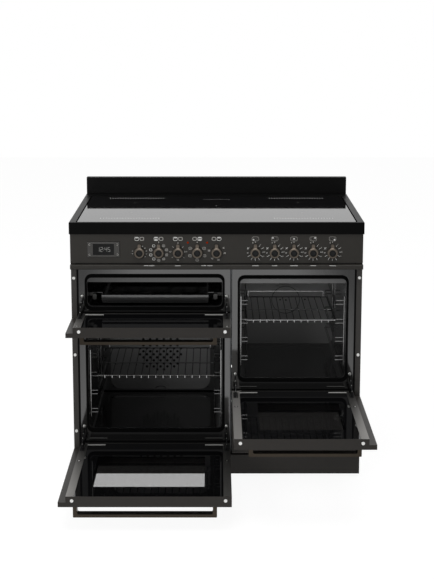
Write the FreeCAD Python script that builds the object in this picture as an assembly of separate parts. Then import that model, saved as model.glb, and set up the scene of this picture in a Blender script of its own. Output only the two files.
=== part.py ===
import FreeCAD, Part
import math
import os

# Range cooker with an induction hob, a grill oven, two large ovens and a storage compartment.
# Millimetres. X runs to the right as the user sees it, Y towards the back, Z up.
# Everything is drawn with Y = 0 at the front of the hob and moved once, in save(), so that
# the origin lies on the floor under the middle of the outline with the doors open.

# Driving dimensions
HOB_W = 1000.0
BODY_W = 994.0
HEIGHT = 900.0
APRON_H = 41.0
REAR_Y = 620.0
BODY_REAR = 600.0
BODY_BOTTOM = 60.0
UPSTAND_H = 62.0
PLINTH_TOP = 80.0
FRONT_Y = 13.0
SHEET = 1.5
FRONT_SHEET = 2.0
LEFT_FRONT = (-471.4, 46.5)
RIGHT_FRONT = (53.0, 471.4)
POST_IN = 478.0
PANEL_Y = 4.0
PANEL_Z = (757.5, 859.0)
TRIM_Y = -10.0
TRIM_Z = (738.7, 754.3)

# Doors, given closed
DOOR_OUT = -25.0
DOOR_IN = 9.5
SKIN_BACK = -9.5
GLASS_BACK = DOOR_IN - 5.0
PIVOT_Y = -9.3
PIVOT_UP = 10.3
STRIP_W = 25.7
BAR_W = 26.5
BAR_T = 10.0
BAR_DROP = 6.0
LEFT_HINGES = (-460.0, 34.5)
RIGHT_HINGES = (65.0, 460.0)
GRILL_DOOR_Z = (554.5, 736.0)
MAIN_DOOR_Z = (90.0, 545.0)
RIGHT_DOOR_Z = (278.5, 736.0)
FLAP_Z = (90.0, 270.5)

# Hinges
ARM_R = 60.0
ARM_W = 9.0
ARM_T = 2.8
LUG_W = 6.0
PIN_R = 3.0
PIN_CLEAR = 0.05
SIDE_CLEAR = 0.6

# Oven spaces
MOUTH_R = 24.0
RING_W = 16.0
SIDE_RING_W = 10.0
LEFT_MOUTH = (-452.0, 29.0)
RIGHT_MOUTH = (71.0, 453.0)
GRILL_MOUTH_Z = (590.0, 719.0)
MAIN_MOUTH_Z = (153.0, 527.0)
RIGHT_MOUTH_Z = (335.0, 715.0)
LIP_H = 18.0

# Mains terminal box and its cable inlet
TERMINAL_X = (210.0, 290.0)
TERMINAL_Z = (BODY_BOTTOM + 2.0, 140.0)
INLET_Z = 110.0
INLET_R = 12.5

# Air holes in front of the main oven's fan
HOLE_R = 3.0
HOLE_PITCH = 26.0
HOLE_ROW = 12.0
HOLE_FIELD_R = 91.0

# Wires are drawn with six sides, pins with twelve and discs with twenty-four, to keep the mesh light
WIRE_SIDES = 6
POST_R = 2.6
RUNG_R = 1.7
SHELF_R = 2.4
ROD_R = 1.5
SHELF_CLEAR = 0.1
CORNER_FLATS = 4
WIRE_FLAT = math.sqrt(0.75)
PIN_SIDES = 12
DISC_SIDES = 24

# Knobs
KNOB_PITCH = 65.4
KNOB_Z = 794.0
KNOB_R = 17.5
SHAFT_R = 3.0
KNOB_SIDES = 24
DISH_R = 11.8
TAB_W = 11.0
TAB_TIP = 31.0
LEFT_KNOBS = [-262.0 + KNOB_PITCH * i for i in range(5)]
RIGHT_KNOBS = [131.3 + KNOB_PITCH * i for i in range(5)]

DOOR_REACH = PIVOT_Y - (RIGHT_DOOR_Z[1] - RIGHT_DOOR_Z[0] - PIVOT_UP)
SHIFT_Y = -(REAR_Y + DOOR_REACH) / 2.0

os.makedirs("parts", exist_ok=True)
V = FreeCAD.Vector


def save(name, shapes):
    """Write one sub-part as a STEP file, moved into the frame of the whole cooker."""
    if not isinstance(shapes, (list, tuple)):
        shapes = [shapes]
    solids = []
    for shape in shapes:
        solids.extend(shape.Solids)
    for solid in solids:
        solid.translate(V(0, SHIFT_Y, 0))
    body = solids[0] if len(solids) == 1 else Part.makeCompound(solids)
    body.exportStep("parts/" + name + ".step")


def box(x0, x1, y0, y1, z0, z1):
    return Part.makeBox(x1 - x0, y1 - y0, z1 - z0, V(x0, y0, z0))


def fuse(shapes):
    body = shapes[0]
    if len(shapes) > 1:
        body = body.fuse(shapes[1:])
    return body.removeSplitter()


def rounded_plate(x0, x1, z0, z1, r, y0, y1):
    """A plate standing across Y whose outline in X and Z is a rectangle with corners of radius r."""
    k = r * math.sqrt(0.5)
    ends = []
    for cx, cz, sx, sz in ((x1 - r, z0 + r, 1, -1), (x1 - r, z1 - r, 1, 1), (x0 + r, z1 - r, -1, 1),
                           (x0 + r, z0 + r, -1, -1)):
        a = V(cx + sx * r, y0, cz)
        b = V(cx, y0, cz + sz * r)
        mid = V(cx + sx * k, y0, cz + sz * k)
        ends.append((a, mid, b) if sx * sz > 0 else (b, mid, a))
    edges = []
    for i, (a, mid, b) in enumerate(ends):
        edges.append(Part.Arc(a, mid, b).toShape())
        after = ends[(i + 1) % 4][0]
        if (after - b).Length > 0.001:
            edges.append(Part.makeLine(b, after))
    return Part.Face(Part.Wire(edges)).extrude(V(0, y1 - y0, 0))


def faceted_plate(x0, x1, z0, z1, r, y0, y1):
    """The same outline with its corners in flats, for liners and gaskets, where the mesh stays light."""
    pts = []
    corners = [(x1 - r, z0 + r), (x1 - r, z1 - r), (x0 + r, z1 - r), (x0 + r, z0 + r)]
    for turn, (cx, cz) in enumerate(corners):
        for i in range(CORNER_FLATS + 1):
            a = math.radians(90 * (turn - 1 + i / CORNER_FLATS))
            pts.append(V(cx + r * math.cos(a), y0, cz + r * math.sin(a)))
    return Part.Face(Part.makePolygon(pts + [pts[0]])).extrude(V(0, y1 - y0, 0))


def section(centre, along, r, sides=WIRE_SIDES):
    """Regular outline of radius r with the number of sides given, square to a direction."""
    along = V(along).normalize()
    side = V(0, 0, 1) if abs(along.z) < 0.9 else V(0, 1, 0)
    other = along.cross(side)
    pts = []
    for i in range(sides):
        a = 2 * math.pi * i / sides
        pts.append(centre + side * (r * math.sin(a)) + other * (r * math.cos(a)))
    return Part.makePolygon(pts + [pts[0]])


def rod(points, r):
    """A wire of radius r bent sharply along the points."""
    pts = [V(*p) for p in points]
    path = Part.makePolygon(pts)
    return path.makePipeShell([section(pts[0], pts[1] - pts[0], r)], True, False, 1)


def prism(centre, along, r, length, sides=WIRE_SIDES):
    """A bar with a regular section, from the centre given along a direction."""
    start = V(*centre)
    return Part.Face(section(start, V(*along), r, sides)).extrude(V(*along) * length)


def pin(r, start, along, length):
    return prism(start, along, r, length, PIN_SIDES)


def shaft(r, start, along, length):
    """A turned pin or shaft."""
    return Part.makeCylinder(r, length, V(*start), V(*along))


def bore(r, start, along, length):
    """The running hole for a shaft of radius r, drawn with flats that clear the shaft by PIN_CLEAR."""
    return prism(start, along, (r + PIN_CLEAR) / math.cos(math.pi / PIN_SIDES), length, PIN_SIDES)


def disc(r, start, along, length):
    return prism(start, along, r, length, DISC_SIDES)


def taper(start, r0, end, r1, sides):
    """A many-sided plug that narrows from one radius to another."""
    a = V(*start)
    b = V(*end)
    low = section(a, b - a, r0, sides)
    high = section(b, b - a, r1, sides)
    faces = [Part.Face(low), Part.Face(high)]
    for near, far in zip(low.Edges, high.Edges):
        p0, p1 = near.firstVertex().Point, near.lastVertex().Point
        q0, q1 = far.firstVertex().Point, far.lastVertex().Point
        faces.append(Part.Face(Part.makePolygon([p0, p1, q1, q0, p0])))
    return Part.makeSolid(Part.makeShell(faces))


def edges_at(shape, axis, value, longer=0.0):
    """The edges that lie at one coordinate, and are longer than a length."""
    found = []
    for edge in shape.Edges:
        reach = edge.BoundBox
        low, high = getattr(reach, axis + "Min"), getattr(reach, axis + "Max")
        if abs(low - value) < 0.1 and abs(high - value) < 0.1 and edge.Length > longer:
            found.append(edge)
    return found


def mirror_x(shape, x):
    return shape.mirror(V(x, 0, 0), V(1, 0, 0))


def swing_open(shape, zb):
    """Turn a closed door to lie open, about its hinge line."""
    turned = shape.copy()
    turned.rotate(V(0, PIVOT_Y, zb + PIVOT_UP), V(1, 0, 0), 90)
    return turned


# Body

def base_frame():
    """Welded underframe: floor pan, foot rails, the divider between the ovens and the top rails."""
    half = BODY_W / 2 - SHEET
    parts = [box(-half, half, 40, BODY_REAR - SHEET, BODY_BOTTOM, BODY_BOTTOM + 2)]
    for y in (70, 520):
        parts.append(box(-half, half, y, y + 40, BODY_BOTTOM - 18, BODY_BOTTOM))
    parts.append(box(48.6, 50.9, 31, BODY_REAR - SHEET, BODY_BOTTOM + 2, 857.5))
    parts.append(box(-half, 48.6, 100, BODY_REAR - SHEET, 545, 547))
    for y in (40, 560):
        parts.append(box(-half, half, y, y + 30, 850, 857.5))
    body = fuse(parts)
    for lo, hi in ((-330, -90), (180, 340)):
        for y in (40, 560):
            body = body.cut(box(lo, hi, y + 6, y + 24, 849, 859))
    return body


def levelling_feet():
    """Four screw feet, each a round disc on a six-sided stem under the foot rails."""
    feet = []
    for x in (-430, 430):
        for y in (90, 540):
            stem = prism((x, y, 9), (0, 0, 1), 6, BODY_BOTTOM - 27)
            feet.append(fuse([disc(22.5, (x, y, 0), (0, 0, 1), 9), stem]))
    return feet


def plinth():
    """Folded kick plate with returns at its top, bottom and ends, on two brackets."""
    half = BODY_W / 2
    panel = box(-half, half, -8, 12, 9.5, PLINTH_TOP)
    panel = panel.makeFillet(2, edges_at(panel, "Y", -8))
    panel = panel.cut(box(-half + 2, half - 2, -6, 23, 11.5, PLINTH_TOP - 2))
    parts = [panel]
    for x in (-300, 300):
        parts.append(box(x - 20, x + 20, -6, 70, BODY_BOTTOM - 16, BODY_BOTTOM - 13))
    return fuse(parts)


def side_panels():
    """Two side sheets, each with a front, rear and top return."""
    half = BODY_W / 2
    outer = box(half - 22, half, 34.3, BODY_REAR, BODY_BOTTOM, 859)
    inner = box(half - 23, half - SHEET, 34.3 + SHEET, BODY_REAR - SHEET, BODY_BOTTOM - 1, 857.5)
    right = outer.cut(inner)
    slots = []
    for i in range(7):
        slots.append(box(half - 3, half + 1, 480 + 12 * i, 486 + 12 * i, 640, 760))
    right = right.cut(Part.makeCompound(slots))
    return [mirror_x(right, 0), right]


def back_panel():
    """Rear sheet in three pieces: the upper one has cooling slots and the two holes for the anti-tip
    chains, and the lower two leave the terminal box between them."""
    half = BODY_W / 2 - 22.4
    y0 = BODY_REAR - SHEET
    upper = box(-half, half, y0, BODY_REAR, TERMINAL_Z[1] + 0.4, 849)
    cuts = []
    for i in range(6):
        for z in (640, 200):
            cuts.append(box(-330 + 120 * i, -240 + 120 * i, y0 - 1, BODY_REAR + 1, z, z + 10))
    for x in (-400, 400):
        cuts.append(shaft(3.25, (x, y0 - 1, 780), (0, 1, 0), 10))
    sheets = [upper.cut(Part.makeCompound(cuts))]
    for x0, x1 in ((-half, TERMINAL_X[0] - 0.4), (TERMINAL_X[1] + 0.4, half)):
        sheets.append(box(x0, x1, y0, BODY_REAR, BODY_BOTTOM + 4, TERMINAL_Z[1] + 0.4))
    return sheets


def front_posts():
    """The two narrow columns that frame the doors, open channels facing back."""
    half = BODY_W / 2
    post = box(POST_IN, half, FRONT_Y, 34, PLINTH_TOP + 2, PANEL_Z[0])
    post = post.makeFillet(1.2, edges_at(post, "Y", FRONT_Y, 100))
    post = post.cut(box(POST_IN + SHEET, half - SHEET, FRONT_Y + SHEET, 35, PLINTH_TOP, PANEL_Z[0] + 1))
    foot = box(POST_IN, half, FRONT_Y, 34, PLINTH_TOP, PLINTH_TOP + 2)
    post = fuse([post, foot])
    return [mirror_x(post, 0), post]


def oven_front(front, hinges, mouths, doors):
    """Enamelled front plate with folded edges, its mouths and the slots for the hinges."""
    x0, x1 = front
    plate = box(x0, x1, FRONT_Y, 40, PLINTH_TOP + 2, PANEL_Z[0])
    plate = plate.cut(box(x0 + 1.5, x1 - 1.5, FRONT_Y + FRONT_SHEET, 41, PLINTH_TOP, PANEL_Z[0] + 1))
    cuts = []
    for mx, mz in mouths:
        cuts.append(rounded_plate(mx[0], mx[1], mz[0], mz[1], MOUTH_R, FRONT_Y - 1, FRONT_Y + 3))
    for zb, arms in doors:
        for x in hinges:
            cuts.append(box(x - 3.6, x + 3.6, FRONT_Y - 1, FRONT_Y + 3, zb + 3.8, zb + 16.8))
            if arms:
                cuts.append(box(x - 2.4, x + 2.4, FRONT_Y - 1, FRONT_Y + 3, zb + 58.5, zb + 73.5))
    return plate.cut(Part.makeCompound(cuts))


def cavity(mouth_x, mouth_z, floor_z, roof_z, rear_y, fan):
    """Pressed oven liner: a front ring behind the mouth, round-cornered walls and a drip lip."""
    mx0, mx1 = mouth_x
    mz0, mz1 = mouth_z
    back = FRONT_Y + FRONT_SHEET
    wx0, wx1 = mx0 + SIDE_RING_W - 1, mx1 - SIDE_RING_W + 1
    ring = faceted_plate(mx0 - 0.7, mx1 + 0.7, mz0 - 0.7, mz1 + 0.7, MOUTH_R + 0.7, back, back + SHEET)
    top = max(roof_z + SHEET, mz1 + 0.7)
    low = min(floor_z - SHEET, mz0 - 0.7)
    ring = fuse([ring, faceted_plate(wx0 - SHEET, wx1 + SHEET, low, top, MOUTH_R, back, back + SHEET)])
    ring = ring.cut(faceted_plate(mx0 + SIDE_RING_W, mx1 - SIDE_RING_W, mz0 + RING_W, mz1 - RING_W + 1, 18,
                                  back - 1, back + 3))
    walls = faceted_plate(wx0 - SHEET, wx1 + SHEET, floor_z - SHEET, roof_z + SHEET, 22,
                          back + SHEET, rear_y + SHEET)
    walls = walls.cut(faceted_plate(wx0, wx1, floor_z, roof_z, 20.5, back + SHEET - 1, rear_y))
    lip_top = mz1 - RING_W + 1
    lip = box(wx0 - 0.5, wx1 + 0.5, 30, 31.5, lip_top - LIP_H, min(roof_z + 0.5, lip_top + 8))
    body = fuse([ring, walls, lip])
    if fan:
        body = body.cut(pin(6, (fan[0], rear_y - 2, fan[1]), (0, 1, 0), 6))
    return body


def seal(mouth_x, mouth_z):
    """Heat-proof gasket round a mouth."""
    mx0, mx1 = mouth_x
    mz0, mz1 = mouth_z
    y1 = FRONT_Y + FRONT_SHEET
    ring = faceted_plate(mx0 + 1.5, mx1 - 1.5, mz0 + 1.5, mz1 - 1.5, MOUTH_R - 1.5, y1 - 4.8, y1)
    hole = faceted_plate(mx0 + 9, mx1 - 9, mz0 + 13, mz1 - 13, 16, y1 - 6, y1 + 1)
    return ring.cut(hole)


def control_panel():
    """Folded panel with shaft holes for the knobs and the cut-out for the display."""
    half = BODY_W / 2
    panel = box(-half, half, PANEL_Y, 30, PANEL_Z[0], PANEL_Z[1])
    panel = panel.makeFillet(1.0, edges_at(panel, "Y", PANEL_Y, 500))
    panel = panel.cut(box(-half + SHEET, half - SHEET, PANEL_Y + SHEET, 31, PANEL_Z[0] + SHEET,
                          PANEL_Z[1] - SHEET))
    cuts = [box(-438.8, -328.8, PANEL_Y - 1, PANEL_Y + 3, 779.4, 832)]
    for x in LEFT_KNOBS + RIGHT_KNOBS:
        cuts.append(prism((x, PANEL_Y - 1, KNOB_Z), (0, 1, 0), 5.0, 4))
    return panel.cut(Part.makeCompound(cuts))


def trim_moulding():
    """Hollow metal moulding under the panel, with rounded front edges."""
    half = BODY_W / 2
    bar = box(-half, half, TRIM_Y, FRONT_Y, TRIM_Z[0], TRIM_Z[1])
    bar = bar.makeFillet(3.0, edges_at(bar, "Y", TRIM_Y, 500))
    return bar.cut(box(-half + 2, half - 2, TRIM_Y + 2.2, FRONT_Y - 2, TRIM_Z[0] + 2, TRIM_Z[1] - 2))


def hob_frame():
    """Steel hob surround: apron, rim round the glass and an inward flange that sits on the body."""
    half = HOB_W / 2
    z0 = HEIGHT - APRON_H
    rim = box(-half, half, 0, BODY_REAR - 2.5, z0, HEIGHT)
    rim = rim.makeFillet(2.5, [e for e in edges_at(rim, "Z", HEIGHT) if e.BoundBox.YMin < 590])
    rim = rim.cut(box(-half + 2, half - 2, 2, BODY_REAR - 4.5, z0 + 1.5, HEIGHT - 8))
    rim = rim.cut(box(-half + 14, half - 14, 16, BODY_REAR - 30, z0 - 1, z0 + 2))
    rim = rim.cut(box(-475, 475, 8, 516, HEIGHT - 6, HEIGHT + 1))
    return rim.cut(box(-467, 467, 16, 508, HEIGHT - 9, HEIGHT + 1))


def hob_glass():
    """Ceramic glass with eased edges, resting in the rebate of the surround."""
    pane = box(-474.5, 474.5, 8.5, 515.5, HEIGHT - 6, HEIGHT)
    return pane.makeFillet(0.8, edges_at(pane, "Z", HEIGHT))


def upstand():
    """Folded rear rail, open below, with a hem behind the hob."""
    half = HOB_W / 2
    y0 = BODY_REAR - 2.5
    rail = box(-half, half, y0, REAR_Y, HEIGHT - APRON_H, HEIGHT + UPSTAND_H)
    rail = rail.makeFillet(2.0, edges_at(rail, "Z", HEIGHT + UPSTAND_H))
    inside = box(-half + 2, half - 2, y0 + 2, REAR_Y - 2, HEIGHT - APRON_H - 1, HEIGHT + UPSTAND_H - 2)
    return rail.cut(inside)


# Oven fittings

def main_fan_cover(x, z, y):
    """Rear baffle of the main oven: a raised panel with a field of round air holes before the fan."""
    pan = faceted_plate(-438.5, 18.5, 154.5, 509, 18, y, y + SHEET)
    raised = faceted_plate(-404, -24, 161, 500, 38, y - 3, y)
    hollow = faceted_plate(-402.5, -25.5, 162.5, 498.5, 36.5, y - 1.5, y + 3)
    body = fuse([pan, raised]).cut(hollow)
    holes = []
    for row in range(-7, 8):
        dz = HOLE_ROW * row
        for column in range(-4, 5):
            dx = HOLE_PITCH * (column + 0.5 * (row % 2))
            if math.hypot(dx, dz) < HOLE_FIELD_R:
                holes.append(prism((x + dx, y - 5, z + dz), (0, 1, 0), HOLE_R, 10))
    body = body.cut(Part.makeCompound(holes))
    legs = []
    for lx in (-425, 5):
        for lz in (190, 480):
            legs.append(box(lx - 4, lx + 4, y + SHEET, y + 26, lz - 4, lz + 4))
    return fuse([body] + legs)


def right_fan_cover(x, z, y):
    """Rear panel of the right oven with a round baffle that stands off before the fan's inlet."""
    pan = faceted_plate(80.4, 443.6, 332.4, 701.6, 20.1, y, y + SHEET)
    parts = [pan.cut(disc(50, (x, y - 1, z), (0, 1, 0), 4)), disc(61, (x, y - 5, z), (0, 1, 0), SHEET)]
    for i in range(3):
        a = 2 * math.pi * (i + 0.25) / 3
        sx, sz = x + 55.5 * math.cos(a), z + 55.5 * math.sin(a)
        parts.append(box(sx - 2, sx + 2, y - 4, y, sz - 2, sz + 2))
    for lx in (95, 430):
        for lz in (360, 670):
            parts.append(box(lx - 4, lx + 4, y + SHEET, y + 23, lz - 4, lz + 4))
    return fuse(parts)


def fan_wheel(x, z, y0, r, shaft_end):
    """Fan wheel with eight bent blades on its own shaft."""
    parts = [disc(r, (x, y0 + 13, z), (0, 1, 0), 1.2), pin(9, (x, y0, z), (0, 1, 0), 13.5)]
    for i in range(8):
        blade = Part.makeBox(r - 24, 1.5, 13.5, V(20, 0, 0))
        blade.rotate(V(0, 0, 0), V(1, 0, 0), 90)
        blade.translate(V(0, y0 + 13.5, 0))
        blade.rotate(V(20, 0, 0), V(0, 1, 0), 18)
        blade.rotate(V(0, 0, 0), V(0, 1, 0), 45 * i)
        blade.translate(V(x, 0, z))
        parts.append(blade)
    parts.append(shaft(4, (x, y0, z), (0, 1, 0), shaft_end - y0))
    return fuse(parts)


def fan_motor(x, z, y):
    """Motor can on a square bracket, its bearing bored for the wheel's shaft."""
    bracket = box(x - 45, x + 45, y, y + 3, z - 45, z + 45)
    can = disc(32, (x, y + 3, z), (0, 1, 0), 50)
    tail = pin(12, (x, y + 53, z), (0, 1, 0), 8)
    return fuse([bracket, can, tail]).cut(bore(4, (x, y - 1, z), (0, 1, 0), 40))


def grill_element(x0, x1, z, y0, y1):
    """Serpentine tube hanging below an oven roof, both ends at the rear wall."""
    loops = 4
    step = (x1 - x0) / (2 * loops - 1)
    pts = [(x0, y1, z)]
    for i in range(2 * loops):
        x = x0 + step * i
        near = (x, y0, z)
        far = (x, y1 - 25, z)
        if i == 0:
            pts.append(near)
        elif i % 2 == 1:
            pts.extend([near, far])
        else:
            pts.extend([far, near])
    pts[-1] = (x1, y1, z)
    return rod(pts, 3.2)


def ring_element(x, z, y, r, wall_y):
    """Ring tube round a fan wheel, on three stays to the wall behind it."""
    tube = disc(r + 3, (x, y - 3, z), (0, 1, 0), 6).cut(disc(r - 3, (x, y - 4, z), (0, 1, 0), 8))
    parts = [tube]
    for i in range(3):
        a = 2 * math.pi * (i + 0.25) / 3
        sx, sz = x + r * math.cos(a), z + r * math.sin(a)
        parts.append(box(sx - 2, sx + 2, y, wall_y, sz - 2, sz + 2))
    return fuse(parts)


def side_rack(wall, x, xi, y0, y1, z0, z1, levels):
    """Wire ladder on an oven wall: two uprights on pins and a pair of guide wires for each level."""
    parts = []
    for y in (y0, y1):
        parts.append(rod([(x, y, z0), (x, y, z1)], POST_R))
        for z in (z0 + 12, z1 - 12):
            parts.append(rod([(wall, y, z), (x, y, z)], RUNG_R))
    for z in levels:
        parts.append(rod([(x, y0, z), (xi, y0, z), (xi, y1, z), (x, y1, z)], RUNG_R))
    return fuse(parts)


def wire_shelf(x0, x1, y0, y1, z, count, mid_y):
    """Wire shelf: a frame, close rods from front to back, a cross wire and a raised back stop."""
    parts = [rod([(x0, y1, z), (x0, y0, z), (x1, y0, z), (x1, y1, z)], SHELF_R)]
    parts.append(rod([(x0, y1, z), (x1, y1, z)], SHELF_R))
    parts.append(rod([(x0, mid_y, z - 1), (x1, mid_y, z - 1)], ROD_R))
    hook_y = y0 - SHELF_R - 1
    for i in range(count):
        x = x0 + (x1 - x0) * (i + 1) / (count + 1)
        parts.append(rod([(x, y1, z + 0.5), (x, hook_y, z + 0.5), (x, hook_y, z - 7)], ROD_R))
    stop = [(x0 + 14, y1, z), (x0 + 14, y1, z + 22), (x1 - 14, y1, z + 22), (x1 - 14, y1, z)]
    parts.append(rod(stop, ROD_R))
    return fuse(parts)


def grill_pan():
    """Enamelled pan with a rolled front bar, hung from its side flanges on the grill runners."""
    outer = box(-394, -28, 32, 380, 610, 640)
    outer = outer.makeFillet(8, edges_at(outer, "Z", 610))
    inner = box(-392.5, -29.5, 33.5, 378.5, 611.5, 641)
    pan = outer.cut(inner.makeFillet(7, edges_at(inner, "Z", 611.5)))
    bar = box(-394, -28, 20, 33.5, 622.5, 643)
    bar = bar.makeFillet(4, edges_at(bar, "Y", 20, 100))
    parts = [pan, bar]
    for x0, x1, wall in ((-424, -392.5, -394), (-29.5, 2, -29.5)):
        parts.append(box(wall, wall + 1.5, 40, 380, 638, 647.8))
        parts.append(box(x0, x1, 40, 380, 646.3, 647.8))
    return fuse(parts)


def grill_runners():
    """Two rails that carry the grill pan, on feet that reach the oven wall."""
    rails = []
    for x, wall in ((-418, -443), (-4, 20)):
        rail = box(x - 6.5, x + 6.5, 22, 400, 627, 646)
        rail = rail.makeFillet(4, [e for e in rail.Edges if e.BoundBox.YLength > 100])
        lo, hi = (wall, x) if wall < x else (x, wall)
        parts = [rail]
        for y in (60, 360):
            parts.append(box(lo, hi, y, y + 14, 631, 642))
        rails.append(fuse(parts))
    return rails


# Doors

def door_parts(xo, xi, z, window, handle, standoff, arms=True):
    """Skin, inner frame, glass and handle of one door, all drawn closed."""
    x0, x1 = xo
    i0, i1 = xi
    zb, zt = z
    skin = box(x0, x1, DOOR_OUT, SKIN_BACK, zb, zt)
    skin = skin.makeFillet(6, [e for e in skin.Edges
                               if e.BoundBox.YMax < DOOR_OUT + 0.1 and e.BoundBox.ZMax < zb + 0.1])
    skin = skin.cut(box(x0 + 1.5, x1 - 1.5, DOOR_OUT + 1.5, SKIN_BACK - 1.5, zb + 6, zt - 1.5))
    skin = skin.cut(box(x0 + 1.5, x1 - 1.5, DOOR_OUT + 7, SKIN_BACK - 1.5, zb + 1.5, zb + 7))
    skin = skin.cut(box(i0 + 1.5, i1 - 1.5, SKIN_BACK - 2, SKIN_BACK + 1, zb + 1.5, zt - 6))
    skin = fuse([skin, box(i0, i1, SKIN_BACK - 0.5, DOOR_IN, zt - SHEET, zt)])
    frame = box(i0, i1, SKIN_BACK, DOOR_IN, zb, zt - SHEET)
    open_x = (i0 + STRIP_W, i1 - STRIP_W)
    frame = frame.cut(box(open_x[0], open_x[1], SKIN_BACK - 1, DOOR_IN + 1, zb + 22, zt - 6))
    for s0, s1 in ((i0, open_x[0]), (open_x[1], i1)):
        frame = frame.cut(box(s0 + 1.5, s1 - 1.5, SKIN_BACK - 1, DOOR_IN - 1.5, zb + 1.5, zt - 6))
    low_x = (open_x[0] - 2, open_x[1] + 2)
    frame = frame.cut(box(low_x[0], low_x[1], SKIN_BACK - 1, GLASS_BACK - SHEET, zb + 1.5, zb + 20.5))
    frame = frame.cut(box(open_x[0], open_x[1], GLASS_BACK, DOOR_IN + 1, zb + 3, zt))
    pieces = [frame]
    cuts = []
    skin_cuts = []
    stations = LEFT_HINGES if i0 < 0 else RIGHT_HINGES
    py, pz = PIVOT_Y, zb + PIVOT_UP
    for x in stations:
        s0, s1 = (i0, open_x[0]) if abs(x - i0) < 60 else (open_x[1], i1)
        pieces.append(box(s0 + 0.5, s1 - 0.5, SKIN_BACK, DOOR_IN - 0.5, zb + 1.5, zb + 21))
        pieces.append(box(s0 + 2, s1 - 2, py - 6, SKIN_BACK, zb + 1.6, zb + 21))
        clear = LUG_W / 2 + SIDE_CLEAR
        cuts.append(box(x - clear, x + clear, py - 7, DOOR_IN + 1, zb - 1, zb + 21.5))
        cuts.append(bore(PIN_R, (x - 8, py, pz), (1, 0, 0), 16))
        skin_cuts.append(box(x - clear, x + clear, py - 7, SKIN_BACK + 1, zb - 1, zb + 22))
        if arms:
            cuts.append(box(x - 3.8, x + 3.8, DOOR_IN - 2, DOOR_IN + 1, zb, zb + 72))
            pieces.append(box(s0 + 0.5, s1 - 0.5, SKIN_BACK + 1, DOOR_IN - 2, zb + 58, zb + 80))
    frame = fuse(pieces).cut(Part.makeCompound(cuts))
    if arms:
        for x in stations:
            frame = fuse([frame, hinge_arm(x, py, pz)])
    skin = skin.cut(Part.makeCompound(skin_cuts))
    glass = [box(open_x[0] + 0.2, open_x[1] - 0.2, GLASS_BACK, DOOR_IN - 1, zb + 3.2, zt - SHEET - 0.2)]
    if window:
        wx0, wx1, wz0, wz1 = window
        skin = skin.cut(rounded_plate(wx0, wx1, wz0, wz1, 5, DOOR_OUT - 1, DOOR_OUT + 2))
        glass.append(box(wx0 - 12, wx1 + 12, DOOR_OUT + 1.5, DOOR_OUT + 5.5, wz0 - 12, wz1 + 12))
    bar = None
    if handle:
        bar = door_handle(handle, zt, standoff)
    return skin, frame, glass, bar


def hinge_arm(x, py, pz):
    """Quadrant arm of a hinge: part of a ring about the pivot, so that it slides through one slot."""
    ring = shaft(ARM_R + ARM_W / 2, (x - ARM_T / 2, py, pz), (1, 0, 0), ARM_T)
    ring = ring.cut(shaft(ARM_R - ARM_W / 2, (x - ARM_T, py, pz), (1, 0, 0), ARM_T * 2))
    reach = ARM_R + ARM_W
    low = math.radians(-22)
    high = math.radians(82)
    corners = [(0, 0), (2 * reach * math.cos(low), 2 * reach * math.sin(low)), (2 * reach, 2 * reach),
               (2 * reach * math.cos(high), 2 * reach * math.sin(high))]
    pts = [V(x - ARM_T, py + a, pz + b) for a, b in corners]
    wedge = Part.Face(Part.makePolygon(pts + [pts[0]])).extrude(V(2 * ARM_T, 0, 0))
    return ring.common(wedge)


def door_handle(span, zt, standoff):
    """Flat bar bent back to the door at both ends."""
    h0, h1 = span
    z1 = zt - BAR_DROP
    z0 = z1 - BAR_W
    y0 = DOOR_OUT - standoff
    bar = box(h0, h1, y0, DOOR_OUT, z0, z1)
    bar = bar.makeFillet(3.0, [e for e in edges_at(bar, "Y", y0) if e.BoundBox.ZLength > 10])
    gap = box(h0 + 13, h1 - 13, y0 + BAR_T, DOOR_OUT + 1, z0 - 1, z1 + 1)
    gap = gap.makeFillet(5.0, [e for e in edges_at(gap, "Y", y0 + BAR_T) if e.BoundBox.ZLength > 10])
    return bar.cut(gap)


def plugs_and_clips(xi, z):
    """White end plugs on a door's top edge and the steel clips that hold its inner glass."""
    i0, i1 = xi
    zb, zt = z
    clips = []
    for x0, x1 in ((i0 + STRIP_W, i0 + STRIP_W + 60), (i1 - STRIP_W - 60, i1 - STRIP_W)):
        clips.append(box(x0, x1, DOOR_IN - 1, DOOR_IN + 0.2, zb + 14, zb + 26))
    plugs = []
    for x in (i0 + 19.5, i1 - 19.5):
        plugs.append(pin(5.5, (x, -4.1, zt), (0, 0, 1), 1.2))
    return clips, plugs


def hinge_jaw(x, zb, arms=True):
    """Steel box behind the front that carries a hinge's fixed lug and takes the arm."""
    y0 = FRONT_Y + FRONT_SHEET
    py, pz = PIVOT_Y, zb + PIVOT_UP
    low, high, deep = (-17, 80, 60) if arms else (-2, 24, 30)
    case = box(x - 4.5, x + 4.5, y0, deep, zb + low, zb + high)
    case = case.cut(box(x - 3.0, x + 3.0, y0 - 1, deep - 1.5, zb + low + 1.5, zb + high - 1.5))
    root = box(x - 3.8, x + 3.8, y0, 27, pz - 5, pz + 5)
    lug = box(x - LUG_W / 2, x + LUG_W / 2, py, y0 + 1, pz - 5, pz + 5)
    eye = box(x - LUG_W / 2, x + LUG_W / 2, py - 4.5, py, pz - 4.5, pz + 4.5)
    return fuse([case, root, lug, eye, shaft(PIN_R, (x - 7.5, py, pz), (1, 0, 0), 15)])


# Controls

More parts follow.
